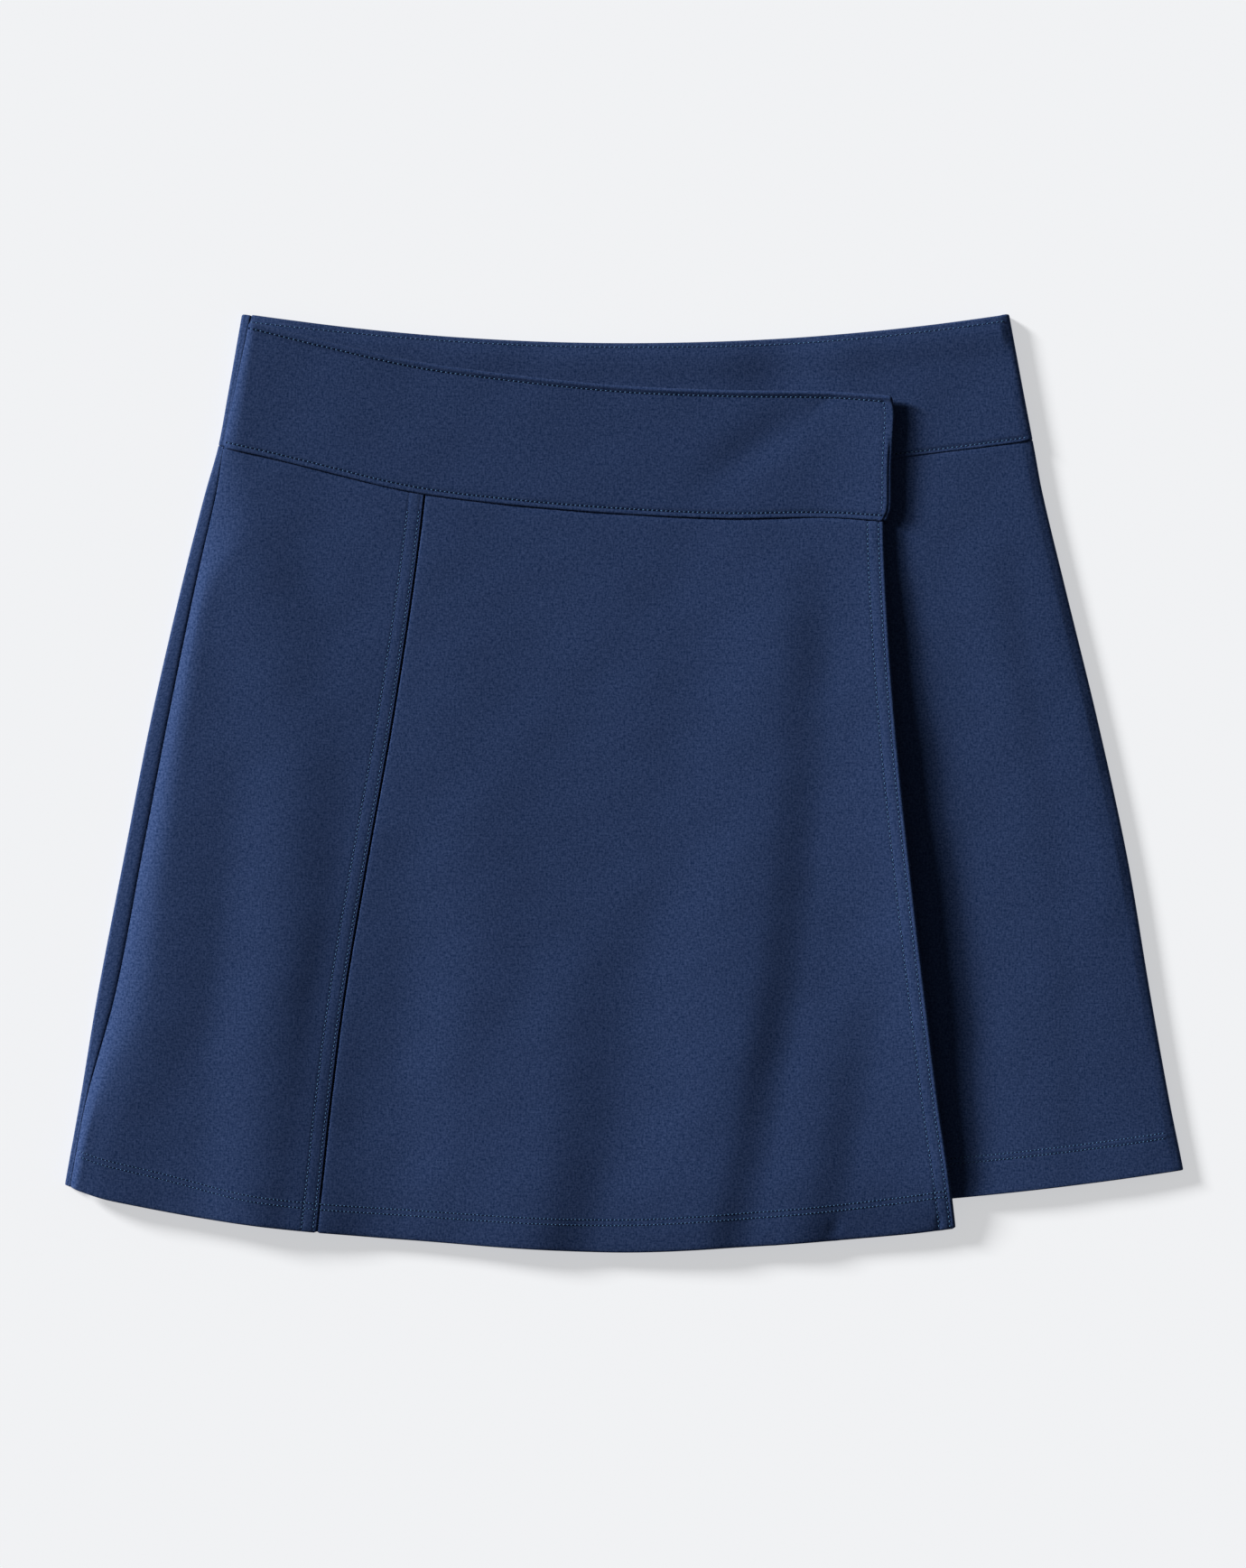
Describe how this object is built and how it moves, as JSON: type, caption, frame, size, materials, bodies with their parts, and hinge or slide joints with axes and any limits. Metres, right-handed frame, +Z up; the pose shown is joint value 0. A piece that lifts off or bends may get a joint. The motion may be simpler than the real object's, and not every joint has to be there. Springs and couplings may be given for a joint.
{
  "type": "wrap-front skort",
  "caption": "Wrap-front A-line skort in plain double knit, laid flat and face up, with a wide shaped waistband, a topstitched side panel and inner shorts.",
  "frame": {"origin": "on the table, at the centre of the rectangle that the laid-out garment covers", "axes": "+Z up from the table and out of the front, +Y from hem to waist, +X to the right as the front is seen, which is the wearer's left"},
  "size_m": [0.5447, 0.458, 0.0149],
  "materials": {
    "navy_knit": "matte double knit",
    "navy_liner": "matte jersey",
    "navy_thread": "spun polyester sewing thread"
  },
  "bodies": {
    "root": {"back_band": "navy_knit", "back_panel": "navy_knit", "under_band": "navy_knit", "under_panel": "navy_knit", "wrap_band": "navy_knit", "wrap_side_panel": "navy_knit", "wrap_front_panel": "navy_knit", "shorts_front_right": "navy_liner", "shorts_front_left": "navy_liner", "shorts_back_right": "navy_liner", "shorts_back_left": "navy_liner"}
  },
  "joints": []
}
